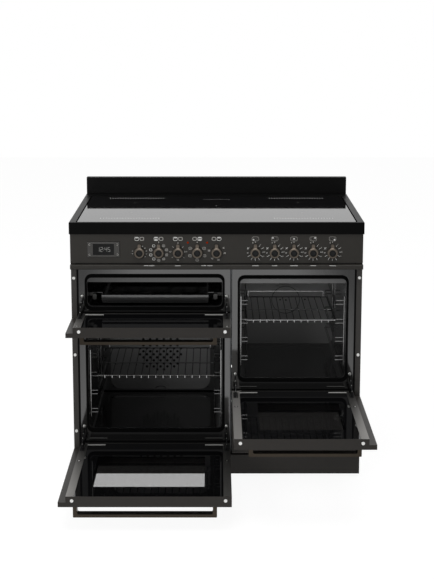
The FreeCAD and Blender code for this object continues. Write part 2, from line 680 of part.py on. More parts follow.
def knob(x, z):
    """Control knob: a ring with a dished centre, a pointer tab that stands out above it, and its shaft."""
    y = PANEL_Y
    body = prism((x, y - 11.2, z), (0, 1, 0), KNOB_R, 10.2, KNOB_SIDES)
    rim = taper((x, y - 11.2, z), KNOB_R, (x, y - 13, z), KNOB_R - 1.8, KNOB_SIDES)
    tip = TAB_TIP - TAB_W / 2
    tab = box(x - TAB_W / 2, x + TAB_W / 2, y - 10, y - 3, z + KNOB_R - 4, z + tip)
    tab = fuse([tab, prism((x, y - 10, z + tip), (0, 1, 0), TAB_W / 2, 7, PIN_SIDES)])
    dish = taper((x, y - 13.2, z), DISH_R, (x, y - 8, z), DISH_R - 1.2, KNOB_SIDES)
    return fuse([body, rim, tab, shaft(SHAFT_R, (x, y - 2, z), (0, 1, 0), 26)]).cut(dish)


def control_switch(x, z):
    """Rotary switch behind the panel, bored for the knob's shaft."""
    case = box(x - 17, x + 17, PANEL_Y + SHEET, 34, z - 18, z + 18)
    return case.cut(bore(SHAFT_R, (x, PANEL_Y, z), (0, 1, 0), 25))


KEYS = {"clock_key_menu": (-430.5, 823.3), "clock_key_down": (-430.5, 788.1),
        "clock_key_up": (-337.1, 823.3), "clock_key_set": (-337.1, 788.1)}


def display_module():
    """Clock module: a raised bezel, its screen recess and four bores for the keys."""
    body = box(-438.3, -329.3, PANEL_Y - 1.2, PANEL_Y + 22, 779.9, 831.5)
    body = body.makeChamfer(0.8, edges_at(body, "Y", PANEL_Y - 1.2))
    flange = box(-443, -325, PANEL_Y + SHEET, PANEL_Y + SHEET + 3, 775, 836)
    body = fuse([body, flange])
    body = body.cut(box(-420.0, -347.6, PANEL_Y - 2, PANEL_Y - 0.4, 786.2, 825.4))
    for x, z in KEYS.values():
        body = body.cut(pin(4.3, (x, PANEL_Y - 2, z), (0, 1, 0), 12))
    return body


def clock_key(x, z):
    return pin(3.7, (x, PANEL_Y - 2.4, z), (0, 1, 0), 11)


# Inner parts

def induction_coils():
    """Coil carrier under the glass with five wound coils on pedestals."""
    parts = [box(-485, 485, 20, 560, 859, 861)]
    for x, y, r in ((-330, 150, 75), (-330, 385, 95), (0, 265, 115), (330, 150, 95), (330, 385, 75)):
        parts.append(box(x - 30, x + 30, y - 30, y + 30, 861, 882))
        parts.append(prism((x, y, 882), (0, 0, 1), r, 11.7, 16))
    return fuse(parts)


def terminal_box():
    """Mains terminal box at the back: an open case and a rear cover with the cable inlet."""
    x0, x1 = TERMINAL_X
    z0, z1 = TERMINAL_Z
    cover_y = BODY_REAR - 3
    case = box(x0, x1, BODY_REAR - 60, cover_y, z0, z1)
    case = case.cut(box(x0 + 3, x1 - 3, BODY_REAR - 57, cover_y + 1, z0 + 3, z1 - 3))
    cover = box(x0, x1, cover_y, BODY_REAR, z0, z1)
    inlet = ((x0 + x1) / 2, cover_y - 1, INLET_Z)
    return [case, cover.cut(shaft(INLET_R, inlet, (0, 1, 0), 5))]


def storage_liner():
    """Sheet-metal tray behind the flap, open at the front."""
    y0 = FRONT_Y + FRONT_SHEET
    tray = box(78, 446, y0, 470, 92, 262)
    return tray.cut(box(79.5, 444.5, y0 - 1, 468.5, 93.5, 260.5))


LEFT_OUT = (-495.7, 47.1)
LEFT_IN = (-471.3, 47.1)
RIGHT_OUT = (53.4, 495.7)
RIGHT_IN = (53.4, 471.3)
STORE_MOUTH = ((80, 444), (94, 260))
MAIN_LEVELS = (429, 416.5, 361, 348.5, 295.6, 283.1, 229.5, 217)
RIGHT_LEVELS = (618, 604.5, 551, 537.5, 486, 472.5, 420, 406.5)
SHELF_UP = (RUNG_R + SHELF_R) * WIRE_FLAT + SHELF_CLEAR
MAIN_FAN = (-214.0, 322.0)
RIGHT_FAN = (265.0, 507.0)
MAIN_BACK = 459.0
RIGHT_BACK = 485.0

save("base_frame", base_frame())
save("levelling_feet", levelling_feet())
save("plinth", plinth())
save("side_panels", side_panels())
save("back_panel", back_panel())
save("front_posts", front_posts())
save("oven_front_left", oven_front(LEFT_FRONT, LEFT_HINGES,
                                   [(LEFT_MOUTH, GRILL_MOUTH_Z), (LEFT_MOUTH, MAIN_MOUTH_Z)],
                                   [(GRILL_DOOR_Z[0], True), (MAIN_DOOR_Z[0], True)]))
save("oven_front_right", oven_front(RIGHT_FRONT, RIGHT_HINGES,
                                    [(RIGHT_MOUTH, RIGHT_MOUTH_Z), STORE_MOUTH],
                                    [(RIGHT_DOOR_Z[0], True), (FLAP_Z[0], False)]))
save("grill_cavity", cavity(LEFT_MOUTH, GRILL_MOUTH_Z, 596, 712, 460, None))
save("main_cavity", cavity(LEFT_MOUTH, MAIN_MOUTH_Z, 150, 514, MAIN_BACK + 26, MAIN_FAN))
save("right_cavity", cavity(RIGHT_MOUTH, RIGHT_MOUTH_Z, 332, 702, RIGHT_BACK + 23, RIGHT_FAN))
save("oven_seals", [seal(LEFT_MOUTH, GRILL_MOUTH_Z), seal(LEFT_MOUTH, MAIN_MOUTH_Z),
                    seal(RIGHT_MOUTH, RIGHT_MOUTH_Z)])
save("control_panel", control_panel())
save("trim_moulding", trim_moulding())
save("hob_frame", hob_frame())
save("hob_glass", hob_glass())
save("upstand", upstand())
save("fan_covers", [main_fan_cover(MAIN_FAN[0], MAIN_FAN[1], MAIN_BACK),
                    right_fan_cover(RIGHT_FAN[0], RIGHT_FAN[1], RIGHT_BACK)])
save("fan_motors", [fan_motor(MAIN_FAN[0], MAIN_FAN[1], MAIN_BACK + 27.5),
                    fan_motor(RIGHT_FAN[0], RIGHT_FAN[1], RIGHT_BACK + 24.5)])
save("main_fan", fan_wheel(MAIN_FAN[0], MAIN_FAN[1], MAIN_BACK + 5, 78, MAIN_BACK + 50))
save("right_fan", fan_wheel(RIGHT_FAN[0], RIGHT_FAN[1], RIGHT_BACK + 5, 50, RIGHT_BACK + 47))
main_ring = ring_element(MAIN_FAN[0], MAIN_FAN[1], MAIN_BACK + 13, 92, MAIN_BACK + 26)
right_ring = ring_element(RIGHT_FAN[0], RIGHT_FAN[1], RIGHT_BACK + 13, 66, RIGHT_BACK + 23)
save("heating_elements", [grill_element(-400, -20, 690, 70, 460),
                          grill_element(-400, -20, 500, 90, MAIN_BACK),
                          grill_element(105, 420, 688, 90, RIGHT_BACK), main_ring, right_ring])
racks = [side_rack(-443, -438, -416, 41, 420, 201, 442, MAIN_LEVELS),
         side_rack(20, 15, -7, 41, 420, 201, 442, MAIN_LEVELS),
         side_rack(80, 84, 106, 41, 450, 388, 633, RIGHT_LEVELS),
         side_rack(444, 440, 412, 41, 450, 388, 633, RIGHT_LEVELS)]
save("shelf_supports", racks + grill_runners())
save("main_shelf", wire_shelf(-413, -9, 33, 362, MAIN_LEVELS[3] + SHELF_UP, 15, 180))
save("right_shelf", wire_shelf(104, 412, 66, 390, RIGHT_LEVELS[3] + SHELF_UP, 12, 210))
save("grill_pan", grill_pan())
save("induction_coils", induction_coils())
save("terminal_box", terminal_box())
save("storage_liner", storage_liner())
save("display_module", display_module())
save("control_switches", [control_switch(x, KNOB_Z) for x in LEFT_KNOBS + RIGHT_KNOBS])

buffers = []
for x, zs in ((-487.5, (704.5, 433, 158.5)), (487.5, (705.5, 433, 158.5))):
    for z in zs:
        buffers.append(pin(5.1, (x, FRONT_Y - 3.2, z), (0, 1, 0), 3.2))
save("door_buffers", buffers)

jaws = []
for z, stations in ((GRILL_DOOR_Z, LEFT_HINGES), (MAIN_DOOR_Z, LEFT_HINGES), (RIGHT_DOOR_Z, RIGHT_HINGES)):
    for x in stations:
        jaws.append(hinge_jaw(x, z[0]))
for x in RIGHT_HINGES:
    jaws.append(hinge_jaw(x, FLAP_Z[0], False))
save("hinge_jaws", jaws)

DOORS = [("grill_door", LEFT_OUT, LEFT_IN, GRILL_DOOR_Z, None, (-449.5, 1.0), 25.0),
         ("main_door", LEFT_OUT, LEFT_IN, MAIN_DOOR_Z, (-400, -39, 216, 466), (-449.5, 1.0), 37.0),
         ("right_door", RIGHT_OUT, RIGHT_IN, RIGHT_DOOR_Z, (136, 408, 404.5, 654.5), (99.0, 449.0), 25.0)]
for name, xo, xi, z, window, handle, standoff in DOORS:
    skin, frame, glass, bar = door_parts(xo, xi, z, window, handle, standoff)
    clips, plugs = plugs_and_clips(xi, z)
    frame = fuse([frame] + clips)
    save(name + "_skin", swing_open(skin, z[0]))
    save(name + "_frame", [swing_open(frame, z[0])] + [swing_open(p, z[0]) for p in plugs])
    save(name + "_glass", [swing_open(g, z[0]) for g in glass])
    save(name + "_handle", swing_open(bar, z[0]))

skin, frame, glass, bar = door_parts(RIGHT_OUT, RIGHT_IN, FLAP_Z, None, None, 0, False)
backing = box(RIGHT_IN[0] + STRIP_W - 0.5, RIGHT_IN[1] - STRIP_W + 0.5, GLASS_BACK, GLASS_BACK + SHEET,
              FLAP_Z[0] + 3, FLAP_Z[1] - SHEET)
save("storage_flap", fuse([skin, frame, backing]))

for side, xs in (("left", LEFT_KNOBS), ("right", RIGHT_KNOBS)):
    for i, x in enumerate(xs):
        save(side + "_knob_" + str(i + 1), knob(x, KNOB_Z))
for name, (x, z) in KEYS.items():
    save(name, clock_key(x, z))
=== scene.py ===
import math

import bpy
import numpy as np
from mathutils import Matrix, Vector


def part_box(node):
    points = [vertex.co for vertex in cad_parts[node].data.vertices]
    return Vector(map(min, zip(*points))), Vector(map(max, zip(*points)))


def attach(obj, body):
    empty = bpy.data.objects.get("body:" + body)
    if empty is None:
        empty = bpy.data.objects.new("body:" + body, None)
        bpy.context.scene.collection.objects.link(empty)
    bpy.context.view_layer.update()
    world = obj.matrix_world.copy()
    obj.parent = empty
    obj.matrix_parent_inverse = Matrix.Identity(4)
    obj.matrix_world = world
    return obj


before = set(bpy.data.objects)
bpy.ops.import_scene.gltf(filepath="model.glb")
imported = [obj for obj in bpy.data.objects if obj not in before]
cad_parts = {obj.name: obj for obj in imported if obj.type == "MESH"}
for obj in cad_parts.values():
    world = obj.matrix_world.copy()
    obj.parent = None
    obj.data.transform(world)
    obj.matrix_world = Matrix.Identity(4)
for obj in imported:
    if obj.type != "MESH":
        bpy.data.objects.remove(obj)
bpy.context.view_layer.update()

# Camera.
# A long lens at about twice the hob's height, looking slightly down. A small lens shift keeps
# the uprights near to parallel, as a product photographer's camera does.

IMAGE_LONG_SIDE = 579
FOCAL_PX = 1217.6
LOOK_DOWN = 9.22
FRONT_Y = -81.75

camera_data = bpy.data.cameras.new("camera")
camera_data.lens = FOCAL_PX * camera_data.sensor_width / IMAGE_LONG_SIDE
camera_data.shift_x = 0.0033
camera_data.shift_y = -0.18
camera = bpy.data.objects.new("camera", camera_data)
camera.location = (-0.00519, -4.0376 + FRONT_Y / 1000, 1.6824)
camera.rotation_euler = (math.radians(90 - LOOK_DOWN), 0, 0)
bpy.context.scene.collection.objects.link(camera)
bpy.context.scene.camera = camera

# Studio.
# A cove that looks white to the camera. In reflections the room in front is dimmer, and the floor
# beside the cooker is painted dimmer in reflections only: a painted reflection. A broad lamp
# overhead and one at the left give the soft shading.


def linear(hex_colour):
    """An sRGB hex colour as linear red, green, blue and alpha."""
    values = [int(hex_colour[i:i + 2], 16) / 255 for i in (1, 3, 5)]
    return [v / 12.92 if v <= 0.04045 else ((v + 0.055) / 1.055) ** 2.4 for v in values] + [1.0]


def add(tree, kind, settings=None, **inputs):
    """Adds one node. Settings are its own properties; inputs are values or sockets, by name or as
    i0, i1 for their numbers."""
    node = tree.nodes.new(kind)
    for key, value in (settings or {}).items():
        setattr(node, key, value)
    for key, value in inputs.items():
        numbered = key[0] == "i" and key[1:].isdigit()
        socket = node.inputs[int(key[1:])] if numbered else node.inputs[key.replace("_", " ")]
        if isinstance(value, bpy.types.NodeSocket):
            tree.links.new(value, socket)
        else:
            socket.default_value = value
    return node


def either(tree, first, second):
    """1 where either of two sockets is 1."""
    return add(tree, "ShaderNodeMath", {"operation": "MAXIMUM"}, i0=first, i1=second).outputs[0]


def both(tree, first, second):
    """1 where both of two sockets are 1."""
    return add(tree, "ShaderNodeMath", {"operation": "MINIMUM"}, i0=first, i1=second).outputs[0]


world = bpy.data.worlds.new("white cove")
world.use_nodes = True
tree = world.node_tree
tree.nodes.clear()
path = add(tree, "ShaderNodeLightPath")
direct = either(tree, path.outputs["Is Camera Ray"], path.outputs["Is Transmission Ray"])
facing = add(tree, "ShaderNodeSeparateXYZ", Vector=add(tree, "ShaderNodeTexCoord").outputs["Generated"])
room = add(tree, "ShaderNodeMapRange", Value=facing.outputs["Y"], From_Min=-0.4, From_Max=0.2,
           To_Min=0.45, To_Max=1.0)
soft = add(tree, "ShaderNodeBackground", Color=linear("#ffffff"), Strength=0.4)
mirrored = add(tree, "ShaderNodeBackground", Color=linear("#ffffff"), Strength=room.outputs[0])
seen = add(tree, "ShaderNodeBackground", Color=linear("#ffffff"), Strength=1.0)
lit = add(tree, "ShaderNodeMixShader", Fac=path.outputs["Is Glossy Ray"], i1=soft.outputs[0],
          i2=mirrored.outputs[0])
mix = add(tree, "ShaderNodeMixShader", Fac=direct, i1=lit.outputs[0], i2=seen.outputs[0])
add(tree, "ShaderNodeOutputWorld", Surface=mix.outputs[0])
bpy.context.scene.world = world
bpy.context.scene.view_settings.view_transform = "Standard"

floor_mesh = bpy.data.meshes.new("floor")
floor_mesh.from_pydata([(-8, -8, 0), (8, -8, 0), (8, 8, 0), (-8, 8, 0)], [], [(0, 1, 2, 3)])
floor = bpy.data.objects.new("floor", floor_mesh)
bpy.context.scene.collection.objects.link(floor)

MIRROR_DIM_START = 0.48
MIRROR_DIM_END = 0.78

paint = bpy.data.materials.new("white studio floor")
paint.use_nodes = True
tree = paint.node_tree
tree.nodes.clear()
path = add(tree, "ShaderNodeLightPath")
glossy = path.outputs["Is Glossy Ray"]
direct = either(tree, path.outputs["Is Camera Ray"], path.outputs["Is Transmission Ray"])
across = add(tree, "ShaderNodeSeparateXYZ", Vector=add(tree, "ShaderNodeTexCoord").outputs["Object"])
aside = add(tree, "ShaderNodeMath", {"operation": "ABSOLUTE"}, i0=across.outputs["X"])
# Painted reflection: the floor glows less in glossy rays beyond these distances to both sides.
painted_side_dimming = add(tree, "ShaderNodeMapRange", Value=aside.outputs[0], From_Min=MIRROR_DIM_START, From_Max=MIRROR_DIM_END)
level = add(tree, "ShaderNodeMapRange", Value=both(tree, painted_side_dimming.outputs[0], glossy), To_Min=0.92, To_Max=0.26)
matt = add(tree, "ShaderNodeBsdfDiffuse", Color=linear("#d8d8d8"))
faint = add(tree, "ShaderNodeBsdfDiffuse", Color=linear("#6a6a6a"))
glow = add(tree, "ShaderNodeEmission", Color=linear("#ffffff"), Strength=level.outputs[0])
shown = add(tree, "ShaderNodeAddShader", i0=faint.outputs[0], i1=glow.outputs[0])
looks = either(tree, direct, glossy)
mix = add(tree, "ShaderNodeMixShader", Fac=looks, i1=matt.outputs[0], i2=shown.outputs[0])
add(tree, "ShaderNodeOutputMaterial", Surface=mix.outputs[0])
floor_mesh.materials.append(paint)


def softbox(name, place, aim, size, power):
    """A broad lamp at a place, turned to face a point."""
    lamp = bpy.data.lights.new(name, "AREA")
    lamp.shape = "RECTANGLE"
    lamp.size, lamp.size_y = size
    lamp.energy = power
    holder = bpy.data.objects.new(name, lamp)
    holder.location = place
    holder.rotation_euler = (Vector(aim) - Vector(place)).to_track_quat("-Z", "Y").to_euler()
    bpy.context.scene.collection.objects.link(holder)


softbox("top softbox", (0.0, -1.0, 4.2), (0, 0, 0.5), (3.6, 2.6), 100)
softbox("left softbox", (-2.6, -3.6, 1.8), (-0.1, 0, 0.4), (1.6, 2.0), 65)

# Enamelled oven fronts and grill pan.
# Vitreous enamel: glass fused on pressed steel. Near black and very glossy, with a faint orange
# peel from the firing; the fronts are screwed to the posts.


def material(name, colour, roughness, metallic=0.0, specular=0.5, ior=1.5):
    """A principled material with constant values on its sockets, then its node tree and its shader."""
    made = bpy.data.materials.new(name)
    made.use_nodes = True
    tree = made.node_tree
    shader = tree.nodes["Principled BSDF"]
    shader.inputs["Base Color"].default_value = linear(colour)
    shader.inputs["Roughness"].default_value = roughness
    shader.inputs["Metallic"].default_value = metallic
    shader.inputs["IOR"].default_value = ior
    shader.inputs["Specular IOR Level"].default_value = specular
    return made, tree, shader


def place_mm(tree, axis=None):
    """Object coordinates in millimetres: all three as a vector, or the one of an axis."""
    coords = add(tree, "ShaderNodeTexCoord").outputs["Object"]
    place = add(tree, "ShaderNodeVectorMath", {"operation": "SCALE"}, i0=coords, Scale=1000.0).outputs[0]
    return add(tree, "ShaderNodeSeparateXYZ", Vector=place).outputs[axis] if axis else place


def relief(tree, shader, height, depth_mm, strength=1.0):
    """Bumps a shader by a height from 0 to 1, over a depth in millimetres."""
    bump = add(tree, "ShaderNodeBump", Height=height, Distance=depth_mm / 1000, Strength=strength)
    tree.links.new(bump.outputs[0], shader.inputs["Normal"])


def uneven(tree, shader, scale, depth_mm, strength, detail=2.0):
    """Bumps a shader by a noise of a scale per millimetre, over a depth in millimetres."""
    noise = add(tree, "ShaderNodeTexNoise", Vector=place_mm(tree), Scale=scale, Detail=detail)
    relief(tree, shader, noise.outputs["Fac"], depth_mm, strength)


def choose(tree, mask, first, second):
    """The first colour where a mask is 0 and the second where it is 1; each is a hex value or a socket."""
    first, second = (linear(tone) if isinstance(tone, str) else tone for tone in (first, second))
    return add(tree, "ShaderNodeMix", {"data_type": "RGBA"}, i0=mask, i6=first, i7=second).outputs[2]


def mottle(tree, shader, low, high, scale):
    """Varies the base colour between two hex colours by a noise of a scale per millimetre."""
    noise = add(tree, "ShaderNodeTexNoise", Vector=place_mm(tree), Scale=scale, Detail=3.0)
    tree.links.new(choose(tree, noise.outputs["Fac"], low, high), shader.inputs["Base Color"])


def dress(made, *nodes):
    """Gives a material to every slot of the CAD nodes named."""
    for name in nodes:
        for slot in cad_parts[name].material_slots:
            slot.material = made


enamel, tree, shader = material("fired black enamel", "#09090a", 0.06, ior=2.0)
mottle(tree, shader, "#080808", "#0c0c0c", 0.02)
uneven(tree, shader, 0.09, 0.12, 0.35)
dress(enamel, "oven_front_left", "oven_front_right", "grill_pan")

# Oven liners and fan covers.
# Pressed steel boxes with the same fired enamel, a little duller inside. The fan covers are
# drilled sheet in a greyer enamel with a dark border, screwed to the rear walls.

liner, tree, shader = material("fired liner enamel", "#161616", 0.16, ior=1.8)
mottle(tree, shader, "#131314", "#1a1a1a", 0.015)
uneven(tree, shader, 0.12, 0.2, 0.4)
dress(liner, "grill_cavity")

# The main oven's copy of the liner enamel is darker than the grill's: painted shade.
shaded_main_liner, tree, shader = material("fired liner enamel of the main oven, with painted shade", "#0c0c0d", 0.14, ior=1.65)
mottle(tree, shader, "#0a0a0b", "#0f0f10", 0.015)
uneven(tree, shader, 0.12, 0.2, 0.4)
dress(shaded_main_liner, "main_cavity")


def between(tree, socket, low, high):
    """1 where a socket lies between two values."""
    middle, half = (low + high) / 2, (high - low) / 2
    return add(tree, "ShaderNodeMath", {"operation": "COMPARE"}, i0=socket, i1=middle, i2=half).outputs[0]


def by_height(tree, z0, z1, low, high):
    """A colour that runs from a low hex colour at height z0 to a high one at z1, in millimetres."""
    rise = add(tree, "ShaderNodeMapRange", Value=place_mm(tree, "Z"), From_Min=z0, From_Max=z1)
    return choose(tree, rise.outputs[0], low, high)


# The tall oven's enamel and the fan covers look paler towards the roof, where more light falls.
pale_liner, tree, shader = material("fired liner enamel of the tall oven", "#232323", 0.16, ior=1.8)
tree.links.new(by_height(tree, 370, 640, "#0c0c0c", "#4c4c4c"), shader.inputs["Base Color"])
uneven(tree, shader, 0.12, 0.2, 0.4)
dress(pale_liner, "right_cavity")

MAIN_PANEL_Y = 456.0
MAIN_BORDER_Y = 459.0
BAFFLE_Y = 480.0
RIGHT_COVER_Y = 485.0

cover_enamel, tree, shader = material("fired fan cover enamel", "#666666", 0.28, ior=1.6)
border = between(tree, place_mm(tree, "Y"), MAIN_BORDER_Y - 1.6 + FRONT_Y, MAIN_BORDER_Y + 3.0 + FRONT_Y)
raised = by_height(tree, 180, 430, "#505050", "#8a8a8a")
tree.links.new(choose(tree, border, raised, "#161616"), shader.inputs["Base Color"])
dress(cover_enamel, "fan_covers")


def at(points):
    """Points in millimetres from the middle of the hob's front, at the floor, as metres in the frame."""
    return (np.asarray(points, float) + (0, FRONT_Y, 0)) / 1000


def piece(name, points, faces, made, body, smooth=False):
    """A mesh piece from points in the frame and faces; it gets its finish and rides on a body."""
    mesh = bpy.data.meshes.new(name)
    mesh.from_pydata([tuple(p) for p in np.asarray(points).reshape(-1, 3)], [], [tuple(f) for f in faces])
    mesh.polygons.foreach_set("use_smooth", np.full(len(mesh.polygons), smooth))
    mesh.materials.append(made)
    obj = bpy.data.objects.new(name, mesh)
    bpy.context.scene.collection.objects.link(obj)
    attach(obj, body)


def turned(centres, axis, profile, sides):
    """Rings of radius r at height h along an axis, for each r, h of a profile, round each centre;
    both ends are flat caps. Gives the points in millimetres and the faces."""
    axis = np.asarray(axis, float)
    side = np.cross(axis, (0.0, 0.0, 1.0) if abs(axis[2]) < 0.5 else (0.0, 1.0, 0.0))
    other = np.cross(axis, side)
    turn = np.arange(sides) * 2 * np.pi / sides
    r, h = np.asarray(profile, float).T
    ring = np.cos(turn)[:, None] * side + np.sin(turn)[:, None] * other
    centres = np.asarray(centres, float).reshape(-1, 3)
    points = centres[:, None, None, :] + r[None, :, None, None] * ring + h[None, :, None, None] * axis
    index = np.arange(points[..., 0].size).reshape(len(centres), len(r), sides)
    after = np.roll(index, -1, axis=2)
    walls = np.stack([index[:, :-1], after[:, :-1], after[:, 1:], index[:, 1:]], -1).reshape(-1, 4).tolist()
    return points.reshape(-1, 3), walls + index[:, 0, ::-1].tolist() + index[:, -1].tolist()


def plates(centre, along, half_long, half_wide, out, thick, sunk=0.05):
    """Flat bars in one mesh: each has corners at its centre, plus or minus half its length along and
    half its width across, from just under the face to 'thick' out of it. Points in millimetres, and
    faces."""
    out = np.asarray(out, float)
    centre = np.asarray(centre, float).reshape(-1, 3)
    along = np.broadcast_to(np.asarray(along, float), centre.shape)
    long_step = along * np.broadcast_to(half_long, len(centre))[:, None]
    wide_step = np.cross(out, along) * np.broadcast_to(half_wide, len(centre))[:, None]
    signs = ((-1, -1), (1, -1), (1, 1), (-1, 1))
    ring = np.stack([centre + s * long_step + t * wide_step for s, t in signs], 1)
    points = np.concatenate([ring - sunk * out, ring + thick * out], 1).reshape(-1, 3)
    pattern = np.array([(3, 2, 1, 0), (4, 5, 6, 7), (0, 1, 5, 4), (1, 2, 6, 5), (2, 3, 7, 6), (3, 0, 4, 7)])
    faces = (np.arange(len(centre))[:, None, None] * 8 + pattern).reshape(-1, 4)
    return points, faces


DOME = [(1.0, -0.1), (1.0, 0.25), (0.88, 0.62), (0.62, 0.86), (0.3, 0.98)]


def domes(centres, axis, radius, height):
    """Domed screw heads: the dome's rings scaled to a radius and a height."""
    return turned(centres, axis, [(r * radius, h * height) for r, h in DOME], 16)


screw_steel, tree, shader = material("zinc plated screw steel", "#a9a9a6", 0.32, metallic=1.0)
mottle(tree, shader, "#9c9c99", "#b5b5b2", 0.4)
burnished_steel_and_slot_shade, tree, shader = material("burnished hinge steel and painted slot shade", "#1b1b1c", 0.4, metallic=0.6)
mottle(tree, shader, "#151516", "#242425", 0.2)

heads = [(243, BAFFLE_Y, 507), (265, BAFFLE_Y, 505.5), (338, RIGHT_COVER_Y, 507)]
points, faces = domes(heads, (0, -1, 0), 3.4, 2.0)
piece("right_fan_cover_screws", at(points), faces, burnished_steel_and_slot_shade, "cooker", True)
heads = [(x, MAIN_BORDER_Y, z) for z in (490, 170) for x in (-394, -34)]
points, faces = domes(heads, (0, -1, 0), 3.4, 2.0)
piece("main_fan_cover_screws", at(points), faces, burnished_steel_and_slot_shade, "cooker", True)

# Chromed wire of shelves and ladder racks.
# Drawn steel wire, welded and chromium plated: bright, with the slight waviness of plating. The
# rods between a shelf's thick cross wires are coloured dark, a painted reflection of the dark oven,
# and the grill's runners are steel.

SHELF_WIRES = (("main_shelf", 33, 180, 362), ("right_shelf", 66, 210, 390))
for node, front_wire, cross_wire, rear_wire in SHELF_WIRES:
    chrome, tree, shader = material(f"chromed wire of the {node}", "#c4c4c4", 0.18, metallic=1.0)
    uneven(tree, shader, 0.3, 0.1, 0.3)
    depth = place_mm(tree, "Y")
    # The rods between the thick cross wires are painted dark: painted reflection.
    painted_dark_rods = either(tree, between(tree, depth, front_wire + 5 + FRONT_Y, cross_wire - 4 + FRONT_Y),
                  between(tree, depth, cross_wire + 4 + FRONT_Y, rear_wire - 5 + FRONT_Y))
    tree.links.new(choose(tree, painted_dark_rods, "#c4c4c4", "#151515"), shader.inputs["Base Color"])
    dress(chrome, node)

LEFT_OVENS_X = 50.0
GRILL_FLOOR_Z = 590.0

rack_wire, tree, shader = material("chromed ladder racks and steel grill runners", "#c4c4c4", 0.2,
                                   metallic=1.0)
x, z = place_mm(tree, "X"), place_mm(tree, "Z")
on_left = add(tree, "ShaderNodeMath", {"operation": "LESS_THAN"}, i0=x, i1=LEFT_OVENS_X)
high_up = add(tree, "ShaderNodeMath", {"operation": "GREATER_THAN"}, i0=z, i1=GRILL_FLOOR_Z)
runner = both(tree, on_left.outputs[0], high_up.outputs[0])
tree.links.new(choose(tree, runner, "#a2a2a2", "#4a4a49"), shader.inputs["Base Color"])
dress(rack_wire, "shelf_supports")

# Powder coat of body and doors.
# Baked polyester powder on steel sheet: satin anthracite, warm in tone, with a fine even texture.
# The posts' coat is smoother and paler, and black rubber fills the gap beside each post.

coat, tree, shader = material("satin anthracite powder coat", "#2b2927", 0.4, specular=0.2)
mottle(tree, shader, "#292725", "#2e2b28", 0.05)
uneven(tree, shader, 0.6, 0.05, 0.5, 3.0)
dress(coat, "plinth", "side_panels", "grill_door_skin", "main_door_skin", "right_door_skin", "storage_flap")

post_coat, tree, shader = material("semi-gloss post coat", "#353331", 0.36, specular=0.3)
mottle(tree, shader, "#33312f", "#383634", 0.05)
uneven(tree, shader, 0.5, 0.04, 0.5)
dress(post_coat, "front_posts")

rubber_and_painted_shadow, tree, shader = material("black extruded rubber and painted shadow", "#060606", 0.7, specular=0.08)
uneven(tree, shader, 0.5, 0.05, 0.5)
points, faces = plates([(-474.7, 14.4, 411), (474.7, 14.4, 411)], (0, 0, 1), 325.0, 3.1, (0, -1, 0), 0.6)
piece("post_gap_strips", at(points), faces, rubber_and_painted_shadow, "cooker")

fascia, tree, shader = material("satin fascia coat", "#2b2a27", 0.4, specular=0.22)
mottle(tree, shader, "#2a2825", "#2e2c29", 0.04)
uneven(tree, shader, 0.8, 0.04, 0.5, 3.0)
dress(fascia, "control_panel", "trim_moulding")

# Hob surround and upstand.
# Steel sheet, folded and welded, with a near-black coat that is smoother than the body's.

hob_coat, tree, shader = material("smooth black hob coat", "#060606", 0.36, specular=0.06)
mottle(tree, shader, "#050505", "#080808", 0.05)
uneven(tree, shader, 0.8, 0.03, 0.4, 3.0)
dress(hob_coat, "hob_frame")

upstand_coat, tree, shader = material("smooth black upstand coat", "#0a0a0a", 0.34, specular=0.12)
mottle(tree, shader, "#080808", "#0c0c0c", 0.05)
uneven(tree, shader, 0.8, 0.03, 0.4)
dress(upstand_coat, "upstand")

# Hob glass.
# Black ceramic glass, polished, let into the surround on a bead of black silicone. Cooking zones
# are marked by fired grey dots at their ends, a cross at each middle and two fine arcs.

ceramic, tree, shader = material("black ceramic glass", "#0c0c0d", 0.04, ior=1.5)
mottle(tree, shader, "#0a0a0b", "#0e0e0f", 0.02)
dress(ceramic, "hob_glass")


def strokes(lines, width, face, thick, upright=False):
    """Pen strokes: a bar from x0, v0 to x1, v1 for each of a list. They lie on a level face at a
    height, where v runs back, or on an upright one at a depth, where v runs up. Points in
    millimetres, and faces."""
    lines = np.asarray(lines, float).reshape(-1, 4)
    right = np.array((1.0, 0.0, 0.0))
    origin = np.array((0.0, face, 0.0) if upright else (0.0, 0.0, face))
    up = np.array((0.0, 0.0, 1.0) if upright else (0.0, 1.0, 0.0))
    ends = [origin + lines[:, i, None] * right + lines[:, i + 1, None] * up for i in (0, 2)]
    run = ends[1] - ends[0]
    length = np.linalg.norm(run, axis=1)
    return plates((ends[0] + ends[1]) / 2, run / length[:, None], length / 2, np.asarray(width) / 2,
                  np.cross(right, up), thick)


HOB_TOP = 900.0
DOT_PITCH = 9.5
PRINT_THICK = 0.06

bead, tree, shader = material("black silicone bead and painted well shade", "#040404", 1.0, specular=0.0)
uneven(tree, shader, 0.4, 0.1, 0.5)
edges = [(-474.4, 8, -474.4, 516), (474.4, 8, 474.4, 516), (-476, 516.5, 476, 516.5), (-476, 8, 476, 8)]
points, faces = strokes(edges, [5.0, 5.0, 1.6, 1.2], HOB_TOP, 0.12)
piece("hob_glass_bead", at(points), faces, bead, "cooker")

fired_grey, tree, shader = material("fired grey glass print", "#b4b4b4", 0.5)
mottle(tree, shader, "#acacac", "#bcbcbc", 0.3)
dots = [(side * (197.8 + DOT_PITCH * i), y, side * (200.2 + DOT_PITCH * i), y)
        for side in (-1, 1) for i in range(22) for y in (76, 478)]
points, faces = strokes(dots, 13.0, HOB_TOP, PRINT_THICK)
piece("hob_zone_dots", at(points), faces, fired_grey, "cooker")

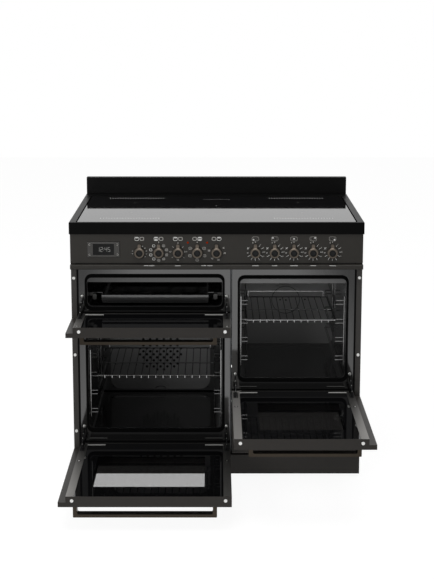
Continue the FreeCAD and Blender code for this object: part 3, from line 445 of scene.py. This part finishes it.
dim_grey, tree, shader = material("thin grey glass print", "#6e6e6e", 0.5)
mottle(tree, shader, "#686868", "#747474", 0.3)
middles = ((-301, 381), (301, 381), (-301, 181), (301, 181), (0, 321))
crosses = [(x - 3.2, y - 4 * s, x + 3.2, y + 4 * s) for s in (-1, 1) for x, y in middles]
bend = np.linspace(-49, 49, 15)
arcs = [(x0, y + 5 - x0 * x0 / 480, x1, y + 5 - x1 * x1 / 480)
        for y in (450, 192) for x0, x1 in zip(bend[:-1], bend[1:])]
widths = [1.3] * len(crosses) + [2.0] * len(arcs)
points, faces = strokes(crosses + arcs, widths, HOB_TOP, PRINT_THICK)
piece("hob_zone_marks", at(points), faces, dim_grey, "cooker")

# Pressings and air holes of the ovens.
# The main oven's floor has a raised rounded rectangle. The fan cover's air holes get dark discs, a
# dark ring marks the groove round the tall oven's baffle, and a dark arch sits low on the main fan
# cover: all painted shade.

HOLE_PITCH = (26.0, 12.0)
HOLE_FIELD = 91.0
MAIN_FAN = (-214.0, 322.0)
BAFFLE = (264.0, 506.5)
MAIN_FLOOR_Z = 150.0
RIGHT_FLOOR_Z = 332.0
FLOOR_CORNER = 30.0

# Painted shade: dark discs at the air holes, a dark groove ring and a dark arch.
painted_recess_shade, tree, shader = material("painted shade of the air holes and grooves", "#040404", 0.8, specular=0.05)
mottle(tree, shader, "#030303", "#060606", 0.2)
steps = [(HOLE_PITCH[0] * (column + 0.5 * (row % 2)), HOLE_PITCH[1] * row)
         for row in range(-7, 8) for column in range(-4, 5)]
holes = [(MAIN_FAN[0] + dx, MAIN_PANEL_Y, MAIN_FAN[1] + dz)
         for dx, dz in steps if math.hypot(dx, dz) < HOLE_FIELD]
points, faces = turned(holes, (0, -1, 0), [(4.9, -0.1), (4.9, 0.15), (4.4, 0.25)], 12)
piece("fan_cover_hole_shade", at(points), faces, painted_recess_shade, "cooker")


def bow(x, z, radius_x, radius_z, degrees):
    """Strokes of an arc round x, z: the cosine of each angle times one radius, the sine times the other."""
    turn = np.radians(degrees)
    rim = list(zip(x + radius_x * np.cos(turn), z + radius_z * np.sin(turn)))
    return [(*p, *q) for p, q in zip(rim[:-1], rim[1:])]


points, faces = strokes(bow(*BAFFLE, 53, 53, np.arange(0, 361, 7.5)), 1.8, BAFFLE_Y, 0.3, True)
piece("baffle_groove", at(points), faces, painted_recess_shade, "cooker")
points, faces = strokes(bow(MAIN_FAN[0], 163, 19, 9, np.arange(0, 181, 15)), 2.2, MAIN_PANEL_Y, 0.3, True)
piece("main_fan_cover_arch", at(points), faces, painted_recess_shade, "cooker")

corners = [(x + FLOOR_CORNER * math.cos(a), y + FLOOR_CORNER * math.sin(a))
           for x, y, start in ((-54, 370, 0), (-374, 370, 90), (-374, 90, 180), (-54, 90, 270))
           for a in np.radians(np.linspace(start, start + 90, 7))]
ridge = [(*p, *q) for p, q in zip(corners, corners[1:] + corners[:1])]
points, faces = strokes(ridge, 5.0, MAIN_FLOOR_Z, 1.5)
piece("main_floor_pressing", at(points), faces, liner, "cooker")
ridge = [(118, 60, 118, 440), (402, 60, 402, 440), (118, 440, 402, 440)]
points, faces = strokes(ridge, 2.6, RIGHT_FLOOR_Z, 1.2)
piece("right_floor_pressing", at(points), faces, liner, "cooker")

# Control panel print and lamps.
# Screen-printed light grey ink, baked on the coat: ticks and small signs round each knob, a
# pictogram above it, and plain dashes on the moulding. Two red lamp lenses are clipped in.

PANEL_Y = 4.0
KNOB_PITCH = 65.4
DIAL_Z = 795.6
LEFT_X = [-262.0 + KNOB_PITCH * i for i in range(5)]
RIGHT_X = [131.3 + KNOB_PITCH * i for i in range(5)]
PICTOGRAM_Z = 842.6
LAMP_Z = 829.4

ink, tree, shader = material("light grey screen ink", "#a8a6a2", 0.5, specular=0.2)
mottle(tree, shader, "#9e9c98", "#b3b1ad", 0.3)
bright_ink, tree, shader = material("white screen ink", "#d8d8d6", 0.5, specular=0.2)
mottle(tree, shader, "#cfcfcd", "#e0e0de", 0.3)

DIGITS = {"0": "abcdef", "1": "bc", "2": "abged", "3": "abgcd", "4": "fgbc", "5": "afgcd", "6": "afgedc"}
BARS = {"a": (0, 2, 1, 2), "b": (1, 1, 1, 2), "c": (1, 0, 1, 1), "d": (0, 0, 1, 0), "e": (0, 0, 0, 1),
        "f": (0, 1, 0, 2), "g": (0, 1, 1, 1)}


def digit(sign, x, z, width, height):
    """Strokes of a plain seven-bar figure with its lower left corner at x, z."""
    return [(x + a * width, z + b * height / 2, x + c * width, z + d * height / 2)
            for a, b, c, d in (BARS[bar] for bar in DIGITS[sign])]


def outline(x, z, width, height, corner=1.2):
    """Strokes of a rectangle with cut corners round x, z."""
    w, h, c = width / 2, height / 2, corner
    rim = [(-w + c, h), (w - c, h), (w, h - c), (w, -h + c), (w - c, -h), (-w + c, -h), (-w, -h + c),
           (-w, h - c)]
    return [(x + a, z + b, x + p, z + q) for (a, b), (p, q) in zip(rim, rim[1:] + rim[:1])]


def clockwise(turn):
    """Steps to the right and up, of a total length of 1, at a turn in degrees clockwise from the top."""
    return math.sin(math.radians(turn)), math.cos(math.radians(turn))


def ray(x, turn, inner, outer):
    """A tick from one radius to another round a dial, at a turn in degrees clockwise from the top."""
    s, c = clockwise(turn)
    return [(x + s * inner, DIAL_Z + c * inner, x + s * outer, DIAL_Z + c * outer)]


# Pictograms of the left row: two squares each, of which one is bright with one or two bars.
faint, fine, bold, fill = [], [], [], []
for i, x in enumerate(LEFT_X):
    for half in (0, 1):
        spot = x + (half - 0.5) * 17.2
        if half == (0, 0, 0, 1, 1)[i]:
            bold += outline(spot, PICTOGRAM_Z, 13.6, 11.6, 2.4)
            bars = (-3.4, 3.4) if i in (1, 3) else (3.4,)
            fill += [(spot - 4.6, PICTOGRAM_Z + dz, spot + 4.6, PICTOGRAM_Z + dz) for dz in bars]
        else:
            fine += outline(spot, PICTOGRAM_Z, 13.6, 11.6, 2.4) + outline(spot, PICTOGRAM_Z, 11.4, 9.4, 2.0)

# Dials of the left row, from the first knob to the fifth.
for turn in (27, 52, 79, 103, 128, -79, -101):
    bold += ray(LEFT_X[0], turn, 22.5, 26.0)
for k in range(1, 10):
    s, c = clockwise(36 * k)
    x, z = LEFT_X[1] + 28.2 * s, DIAL_Z + 28.2 * c
    if k > 5:
        bold += outline(x, z, 8.0, 7.6)
    else:
        fine += outline(x, z, 8.0, 7.6)
        fine += [(x - 2.2, z + dz, x + 2.2, z + dz) for dz in (1, -1.4)]
for turn in (42, -42, 132, -132):
    fine += ray(LEFT_X[2], turn, 21.5, 28.5)
for sign, dx, dz in (("1", -31, 0), ("2", -25, 0), ("3", 22, 0), ("4", 28, 0), ("5", -3.5, -28),
                     ("6", 1, -28), ("0", -1, 30)):
    fine += digit(sign, LEFT_X[2] + dx, DIAL_Z + dz, 2.2, 4.4)
for turn in (58, 116, 180, -116, -58):
    s, c = clockwise(turn)
    x, z = LEFT_X[3] + 27.6 * s, DIAL_Z + 26.4 * c
    fine += outline(x, z, 9.4, 8.0) + [(x - 2.6, z, x + 2.6, z)]
for sign, turn in (("1", 54), ("2", 96), ("3", 168), ("4", -145), ("5", -76)):
    s, c = clockwise(turn)
    fine += digit(sign, LEFT_X[4] + 27 * s - 2.4, DIAL_Z + 26 * c - 2.4, 2.4, 5.0)
    fine += digit("0", LEFT_X[4] + 27 * s + 1.6, DIAL_Z + 26 * c - 2.4, 2.4, 5.0)
for x in (LEFT_X[1], LEFT_X[3]):
    fine += digit("0", x - 1, DIAL_Z + 33.4, 2.2, 4.0)

# Dials and pictograms of the right row: five zones each, of which the knob's own is bright.
ZONES = ((-6.2, -3.2), (-6.2, 3.2), (0, 0), (6.2, 3.2), (6.2, -3.2))
for i, x in enumerate(RIGHT_X):
    for turn in (180, 151, -151, 120, -120):
        bold += ray(x, turn, 19.5, 29.5)
    for turn in (32, 60, 88, -94):
        bold += ray(x, turn, 23.5, 29.0)
    for turn, sign in ((32, "1"), (60, "2"), (88, "3"), (116, "4")):
        s, c = clockwise(turn)
        fine += digit(sign, x + 31.5 * s - 0.8, DIAL_Z + 31.5 * c - 1.2, 1.8, 3.2)
    bold += [(x - 28.0, DIAL_Z + 11, x - 21.0, DIAL_Z + 17), (x - 27.5, DIAL_Z + 17, x - 22.5, DIAL_Z + 11)]
    fine += digit("0", x - 1, DIAL_Z + 33.6, 2.0, 3.6) + digit("6", x - 9.2, DIAL_Z + 31.8, 2.0, 3.6)
    faint += outline(x, PICTOGRAM_Z, 22.5, 14.0, 3.0)
    for dx, dz in ZONES:
        faint += [(x + dx - 1.1, PICTOGRAM_Z + dz, x + dx + 1.1, PICTOGRAM_Z + dz)]
    dx, dz = ZONES[i]
    fill += [(x + dx - 2.4, PICTOGRAM_Z + dz + s, x + dx + 2.4, PICTOGRAM_Z + dz + s) for s in (-1.0, 1.0)]


def printed(name, lines, width, finish, y, body, thick=PRINT_THICK):
    """Strokes printed on an upright face at y; x runs right and z runs up."""
    points, faces = strokes(lines, width, y, thick, True)
    piece(name, at(points), faces, finish, body)


printed("pictogram_print", faint, 0.8, ink, PANEL_Y, "cooker")
printed("dial_print", fine, 1.0, ink, PANEL_Y, "cooker")
printed("dial_print_bright", bold, 1.2, bright_ink, PANEL_Y, "cooker")
printed("pictogram_spots", fill, 2.8, bright_ink, PANEL_Y, "cooker")

TRIM_FACE_Y = -10.0
DASH_Z = 752.6

spans = [(-246.8, -231.2), (-229.5, -211.4), (-141.2, -122.0), (-51.7, -35.2), (-31.7, -13.7)]
spans += [(x - w / 2, x + w / 2) for x, w in zip(RIGHT_X, (21.5, 18.0, 26.0, 19.4, 21.5))]
dashes = [(x0, DASH_Z, x1, DASH_Z) for x0, x1 in spans]
printed("moulding_dashes", dashes, 1.5, bright_ink, TRIM_FACE_Y, "cooker")

lens_red, tree, shader = material("red lamp lens", "#8a2400", 0.6, specular=0.0)
mottle(tree, shader, "#822000", "#942a02", 0.5)
points, faces = domes([(-97.4, PANEL_Y, LAMP_Z), (-32.2, PANEL_Y, LAMP_Z)], (0, -1, 0), 3.4, 1.6)
piece("warning_lamps", at(points), faces, lens_red, "cooker", True)

# Clock.
# A moulded satin bezel with a smoked window behind it, plain figures of light bars, and a
# half-ring round each of the four round keys.

bezel, tree, shader = material("satin moulded bezel", "#3d3c3a", 0.42, specular=0.35)
mottle(tree, shader, "#3b3a38", "#403f3d", 0.1)
dress(bezel, "display_module", "clock_key_menu", "clock_key_down", "clock_key_up", "clock_key_set")

WINDOW_MIDDLE = (-383.8, 3.6, 805.8)
WINDOW_FACE_Y = 3.3

smoked, tree, shader = material("smoked clock window", "#171717", 0.12, specular=0.18)
mottle(tree, shader, "#151515", "#1a1a1a", 0.1)
points, faces = plates(WINDOW_MIDDLE, (1, 0, 0), 36.0, 19.4, (0, -1, 0), 0.3)
piece("clock_window", at(points), faces, smoked, "cooker")

light_bars, tree, shader = material("dim white light bars", "#4c4c4a", 0.4)
mottle(tree, shader, "#484846", "#50504e", 0.5)
shader.inputs["Emission Color"].default_value = linear("#9a9a97")
shader.inputs["Emission Strength"].default_value = 0.5
figures = []
for sign, x in (("1", -404.5), ("2", -393.5), ("4", -379.0), ("5", -368.5)):
    figures += digit(sign, x, 798.6, 6.6, 14.5)
figures += [(-383.0, 802.4, -383.0, 804), (-383.0, 808, -383.0, 809.6)]
printed("clock_figures", figures, 1.25, light_bars, WINDOW_FACE_Y, "cooker")

# A black strip along the bezel's right side and top is painted shadow.
gap = [(-328.6, 779.6, -328.6, 832.6), (-438.3, 832.3, -328.6, 832.3)]
printed("clock_shadow_gap", gap, 1.6, rubber_and_painted_shadow, PANEL_Y, "cooker", 0.08)

KEYS = {"clock_key_menu": (-430.5, 823.3, 1), "clock_key_down": (-430.5, 788.1, 1),
        "clock_key_up": (-337.1, 823.3, -1), "clock_key_set": (-337.1, 788.1, -1)}
KEY_TOP_Y = PANEL_Y - 2.4
for key, (x, z, way) in KEYS.items():
    half_ring = bow(x, z, way * 3.0, 3.0, np.linspace(50, 310, 14))
    printed(f"{key}_half_ring", half_ring, 1.2, ink, KEY_TOP_Y, key, thick=0.05)

# Knobs.
# Turned zinc rings with a pointer tab, plated in satin bronze; a dark cap is pressed into each
# dish and leaves a fine groove round it. The door handles have a darker bronze plating.


def brushed(tree, shader, stretch, depth_mm, strength):
    """Bumps a shader by fine lines: a noise whose scale per millimetre is small along one axis."""
    lines = add(tree, "ShaderNodeMapping", Vector=place_mm(tree), Scale=stretch)
    noise = add(tree, "ShaderNodeTexNoise", Vector=lines.outputs[0], Scale=1.0, Detail=3.0)
    relief(tree, shader, noise.outputs["Fac"], depth_mm, strength)


bronze, tree, shader = material("satin bronze plating", "#6c645b", 0.38, metallic=1.0)
brushed(tree, shader, (0.02, 1.5, 1.5), 0.03, 0.4)
handle_bronze, tree, shader = material("satin bronze bar plating", "#3a352e", 0.3, metallic=1.0)
mottle(tree, shader, "#37322c", "#3e3831", 0.1)
dress(handle_bronze, "main_door_handle", "grill_door_handle", "right_door_handle")
cap_dark, tree, shader = material("dark moulded knob cap", "#101112", 0.35, specular=0.25)
mottle(tree, shader, "#0e0f10", "#131415", 0.3)

CAP = [(10.9, -0.1), (10.9, 0.5), (10.3, 1.0), (7.0, 0.75), (3.0, 0.55), (0.6, 0.5)]
CAP_PLACE = (-4.0, 794.0)
for side, row in (("left", LEFT_X), ("right", RIGHT_X)):
    for i, x in enumerate(row):
        name = f"{side}_knob_{i + 1}"
        dress(bronze, name)
        points, faces = turned((x, *CAP_PLACE), (0, -1, 0), CAP, 32)
        piece(f"{name}_cap", at(points), faces, cap_dark, name, True)

# Oven doors.
# A coated steel skin, a stainless inner frame whose side strips show, a black printed inner glass,
# an outer pane behind the skin's window, and a bronze bar handle. The hinge arms are steel,
# coloured almost black as painted shade of their slots, and the frame's end plugs are white nylon.

PIVOT_Y = -9.3
PIVOT_UP = 10.3
DOOR_INNER = 9.5
STRIP_W = 25.7
PAINTED_LIGHT_STRIP_END = 85.0
SCREW_UP = 162.0
SLOT_MIDDLE_UP = 47.0
SLOT_ENDS_UP = (23.6, 73.6)
RIVET_RADIUS = 64.2

# Each door's lower and upper edge, its frame's inner sides, its hinges and its window.
DOORS = {"grill": (554.5, 736.0, (-471.3, 47.1), (-460.0, 34.5), None),
         "main": (90.0, 545.0, (-471.3, 47.1), (-460.0, 34.5), (-400, -39, 216, 466)),
         "right": (278.5, 736.0, (53.4, 471.3), (65.0, 460.0), (136, 408, 404.5, 654.5))}


def opened(zb, points):
    """Points of a closed door in millimetres, turned down a quarter about its hinge to the open place."""
    x, y, z = np.asarray(points, float).reshape(-1, 3).T
    pivot_z = zb + PIVOT_UP
    return np.stack([x, PIVOT_Y - (z - pivot_z), pivot_z + (y - PIVOT_Y)], 1)


def door_piece(door, part, zb, shape, made, smooth=False):
    """A piece whose points and faces are worked out on the closed door, laid on the open one."""
    points, faces = shape
    piece(f"{door}_{part}", at(opened(zb, points)), faces, made, door, smooth)


# A pale satin steel for the clips that hold the inner glass.
clip_steel, tree, shader = material("pale satin clip steel", "#b4b4b1", 0.5, metallic=0.35)
mottle(tree, shader, "#adadaa", "#bcbcb9", 0.3)

for name, (zb, zt, inside, hinges, window) in DOORS.items():
    door = f"{name}_door"
    face_z = zb + PIVOT_UP + DOOR_INNER - PIVOT_Y
    front_y = PIVOT_Y - (zt - zb - PIVOT_UP) + FRONT_Y

    # The steel is brushed across the strips. It is painted darker towards the hinges, a painted
    # reflection of the dark oven front, and the right door's strip nearest the middle is painted paler:
    # painted light. Arms and plugs are told from the strips by their place; the arms' almost black is
    # painted shade.
    strip_steel, tree, shader = material(f"brushed stainless {name} door frame", "#7d7c7a", 0.42,
                                         metallic=1.0)
    brushed(tree, shader, (2.0, 0.02, 2.0), 0.02, 0.5)
    depth = place_mm(tree, "Y")
    # The strips are painted darker towards the hinge: painted reflection of the dark oven front.
    shade = add(tree, "ShaderNodeMapRange", Value=depth, From_Min=front_y + 60, From_Max=FRONT_Y - 30)
    tint = choose(tree, shade.outputs[0], "#918f8c", "#595856")
    plug = between(tree, depth, front_y - 3, front_y - 0.02)
    satin = plug
    if name == "right":
        # The right door's strip nearest the middle is painted paler and partly non-metallic: painted light.
        painted_light_strip = between(tree, place_mm(tree, "X"), 0.0, PAINTED_LIGHT_STRIP_END)
        tint = choose(tree, painted_light_strip, tint, "#a3a19e")
        part = add(tree, "ShaderNodeMapRange", Value=painted_light_strip, To_Max=0.3)
        satin = either(tree, plug, part.outputs[0])
    # The hinge arms are painted almost black: painted shade in their slots.
    painted_arm_shade = between(tree, place_mm(tree, "Z"), face_z + 0.4, face_z + 90)
    tint = choose(tree, plug, choose(tree, painted_arm_shade, tint, "#161617"), "#e4e4e2")
    tree.links.new(tint, shader.inputs["Base Color"])
    metal = add(tree, "ShaderNodeMath", {"operation": "SUBTRACT", "use_clamp": True}, i0=1.0, i1=satin)
    tree.links.new(metal.outputs[0], shader.inputs["Metallic"])
    dress(strip_steel, f"{door}_frame")

    # Glossy glass, printed black but for the window. Its specular level is lowered along the hinge:
    # painted shade of its reflection.
    pane, tree, shader = material(f"black printed {name} door glass", "#08080a", 0.03, specular=0.5)
    mottle(tree, shader, "#070708", "#0b0b0c", 0.02)
    if window:
        x0, x1, z0, z1 = window
        y_front, y_rear = (PIVOT_Y - (z - zb - PIVOT_UP) + FRONT_Y for z in (z1, z0))
        clear = both(tree, between(tree, place_mm(tree, "X"), x0, x1),
                     between(tree, place_mm(tree, "Y"), y_front, y_rear))
        veil = add(tree, "ShaderNodeMapRange", Value=clear, To_Min=1.0, To_Max=0.215)
        tree.links.new(veil.outputs[0], shader.inputs["Alpha"])
    # Painted shade: the glass reflects less along the hinge.
    rim = between(tree, place_mm(tree, "Y"), FRONT_Y - 60, FRONT_Y + 30)
    painted_hinge_dimming = add(tree, "ShaderNodeMapRange", Value=rim, To_Min=0.5, To_Max=0.05)
    tree.links.new(painted_hinge_dimming.outputs[0], shader.inputs["Specular IOR Level"])
    dress(pane, f"{door}_glass")

    screws = [(x, DOOR_INNER, zb + SCREW_UP) for x in hinges]
    door_piece(door, "strip_screws", zb, domes(screws, (0, 1, 0), 4.2, 1.4), screw_steel, True)
    # Black discs round the strip screws are painted shade of their recesses.
    screw_well_shade = turned(screws, (0, 1, 0), [(6.0, -0.1), (6.0, 0.3), (4.3, 0.35)], 20)
    door_piece(door, "painted_screw_well_shade", zb, screw_well_shade, bead)

    clips = [(inside[0] + STRIP_W + 30, DOOR_INNER + 0.2, zb + 20),
             (inside[1] - STRIP_W - 30, DOOR_INNER + 0.2, zb + 20)]
    door_piece(door, "glass_clips", zb, plates(clips, (1, 0, 0), 31.0, 3.9, (0, 1, 0), 0.5), clip_steel)

    # Dark bars along the sides and ends of each hinge slot are painted shade of the slots.
    sides = [(x + s * 5.6, DOOR_INNER, zb + SLOT_MIDDLE_UP) for x in hinges for s in (-1, 1)]
    ends = [(x, DOOR_INNER, zb + up) for x in hinges for up in SLOT_ENDS_UP]
    rims = plates(sides + ends, [(0, 0, 1)] * 4 + [(1, 0, 0)] * 4, [25.0] * 4 + [7.4] * 4,
                  [1.8] * 4 + [1.6] * 4, (0, 1, 0), 0.4)
    door_piece(door, "painted_slot_shade", zb, rims, burnished_steel_and_slot_shade)

    rivets = [(x, PIVOT_Y + RIVET_RADIUS * math.cos(a), zb + PIVOT_UP + RIVET_RADIUS * math.sin(a))
              for x in hinges for a in (math.radians(turn) for turn in (14, 34, 54, 74))]
    door_piece(door, "arm_rivets", zb, domes(rivets, (0, 0, 1), 1.5, 2.0), screw_steel, True)

# Zinc plated screws over each hinge, on dark washers, hold the hinge boxes to the enamelled fronts.
FRONT_FACE = 13.0
HINGE_SCREW_UP = 85.5
heads = [(x, FRONT_FACE, zb + HINGE_SCREW_UP) for zb, _, _, hinges, _ in DOORS.values() for x in hinges]
points, faces = domes(heads, (0, -1, 0), 5.8, 2.4)
piece("hinge_screws", at(points), faces, screw_steel, "cooker", True)
points, faces = turned(heads, (0, -1, 0), [(7.2, -0.1), (7.2, 0.5), (6.0, 0.6)], 20)
piece("hinge_screw_washers", at(points), faces, burnished_steel_and_slot_shade, "cooker")

# Inner and hidden parts.
# Galvanised and stainless sheet, moulded plastic, oxidised heater tubes, copper coils, nylon
# buffers and the woven gaskets of the ovens.

nylon, tree, shader = material("white moulded nylon", "#e4e4e2", 0.45)
mottle(tree, shader, "#dededb", "#eaeae8", 0.2)
dress(nylon, "door_buffers")

# A dull black braid of about 3 mm, drawn as diagonal bands.
gasket, tree, shader = material("woven glass-fibre gasket", "#070707", 0.9, specular=0.04)
braid = add(tree, "ShaderNodeTexWave", {"wave_type": "BANDS", "bands_direction": "DIAGONAL"},
            Vector=place_mm(tree), Scale=0.35)
relief(tree, shader, braid.outputs["Fac"], 0.5, 0.6)
dress(gasket, "oven_seals")

sheet, tree, shader = material("bright hinge and fan steel", "#7d7d7b", 0.36, metallic=1.0)
mottle(tree, shader, "#757573", "#868684", 0.06)
dress(sheet, "hinge_jaws", "main_fan", "right_fan", "fan_motors")

# The zinc's spangle: flat crystals of about 12 mm.
zinc, tree, shader = material("galvanised sheet", "#8f9294", 0.42, metallic=0.85)
spangle = add(tree, "ShaderNodeTexVoronoi", Vector=place_mm(tree), Scale=0.08)
tree.links.new(choose(tree, spangle.outputs["Color"], "#85888a", "#9a9d9f"), shader.inputs["Base Color"])
dress(zinc, "base_frame", "back_panel", "storage_liner")

plastic, tree, shader = material("black moulded plastic", "#161616", 0.5)
mottle(tree, shader, "#131313", "#1a1a1a", 0.3)
uneven(tree, shader, 1.2, 0.04, 0.5)
dress(plastic, "levelling_feet", "terminal_box", "control_switches")

heater, tree, shader = material("oxidised heater tube", "#4a4643", 0.55, metallic=0.9)
mottle(tree, shader, "#403c3a", "#565250", 0.1)
dress(heater, "heating_elements")

winding, tree, shader = material("enamelled copper winding", "#8a4b22", 0.4, metallic=0.9)
turns = add(tree, "ShaderNodeTexWave", {"wave_type": "RINGS"}, Vector=place_mm(tree), Scale=0.4)
relief(tree, shader, turns.outputs["Fac"], 0.4, 0.6)
dress(winding, "induction_coils")

# Screws of the back panel.
# Zinc plated pan heads along the edges of the galvanised sheets.

EDGE = 9.0
rear_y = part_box("back_panel")[1].y * 1000 - FRONT_Y
low, high = (corner * 1000 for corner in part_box("back_panel"))
rows = [(x, rear_y, z)
        for x in (low.x + EDGE, high.x - EDGE) for z in np.linspace(low.z + 60, high.z - 20, 8)]
rows += [(x, rear_y, high.z - EDGE) for x in np.linspace(low.x + 90, high.x - 90, 8)]
points, faces = domes(rows, (0, 1, 0), 4.0, 1.8)
piece("back_panel_screws", at(points), faces, screw_steel, "cooker", True)
